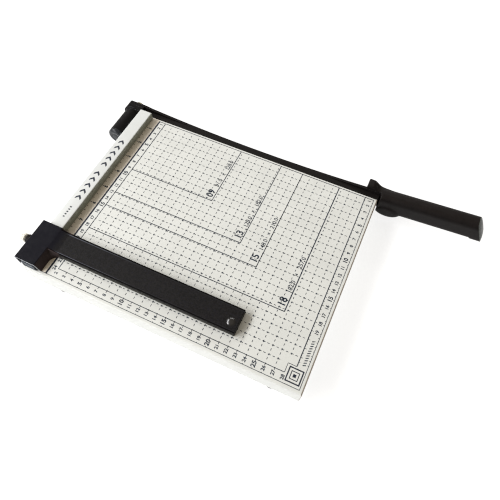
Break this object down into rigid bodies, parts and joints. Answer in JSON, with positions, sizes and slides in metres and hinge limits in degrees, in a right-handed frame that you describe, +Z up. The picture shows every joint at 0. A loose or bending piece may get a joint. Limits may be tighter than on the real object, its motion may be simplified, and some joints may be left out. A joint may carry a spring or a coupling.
{
  "type": "guillotine paper cutter",
  "caption": "Desktop guillotine paper cutter: steel board with a squaring fence, a sliding clamped back stop and a bowed knife arm with a guarded handle, hinged beside a bed knife.",
  "frame": {"origin": "centre of the bottom face of the rear left rubber foot, beside the pivot, on the table", "axes": "+X along the cut from the pivot to the handle, +Y away from the user towards the blade, +Z up"},
  "size_m": [0.4727, 0.2671, 0.0516],
  "materials": {
    "board_paint": "satin",
    "fence_paint": "satin",
    "black_paint": "satin",
    "stop_paint": "satin",
    "plain_steel": "satin",
    "nut_brass": "satin",
    "screw_brass": "satin",
    "foot_rubber": "matte",
    "grip_plastic": "matte",
    "cap_plastic": "satin",
    "housing_plastic": "satin"
  },
  "bodies": {
    "base": {"base_tray": "board_paint", "stiffener_rails": "board_paint", "rubber_feet": "foot_rubber", "foot_screws": "plain_steel", "fence_rail": "fence_paint", "fence_blocks": "plain_steel", "fence_screws": "plain_steel", "bed_knife": "black_paint", "knife_screws": "plain_steel", "thrust_plate": "black_paint", "plate_rivets": "black_paint", "pivot_housing": "black_paint", "housing_bolts": "black_paint", "housing_nuts": "plain_steel", "pivot_end_cap": "housing_plastic", "pivot_spring": "plain_steel", "spring_washer": "plain_steel"},
    "blade": {"pivot_bolt": "plain_steel", "nut_washer": "plain_steel", "pivot_nut": "nut_brass", "blade_arm": "black_paint", "handle_grip": "grip_plastic", "handle_end_cap": "cap_plastic", "handle_screws": "plain_steel"},
    "stop_slide": {"back_stop": "stop_paint", "arm_button": "stop_paint", "clamp_nut": "stop_paint"},
    "shoe": {"pressure_shoe": "screw_brass"},
    "clamp_screw": {"thumb_screw": "screw_brass"}
  },
  "joints": [
    {"name": "blade_pivot", "type": "hinge", "parent": "base", "child": "blade", "pos_m": [-0.0505, 0.018, 0.0295], "axis": [0, -1, 0], "range_deg": [0, 75]},
    {"name": "guide_slide", "type": "slide", "parent": "base", "child": "stop_slide", "axis": [0, 1, 0], "range_m": [0, 0.145]},
    {"name": "shoe_slide", "type": "slide", "parent": "stop_slide", "child": "shoe", "axis": [-1, 0, 0], "range_m": [0, 0.0015]},
    {"name": "clamp_screw_turn", "type": "hinge", "parent": "shoe", "child": "clamp_screw", "pos_m": [-0.05, -0.2065, 0.0382], "axis": [-1, 0, 0], "range_deg": [0, 680]}
  ],
  "couplings": [
    {"joint": "clamp_screw_turn", "follows": "shoe_slide", "rad_per_m": 7854}
  ]
}
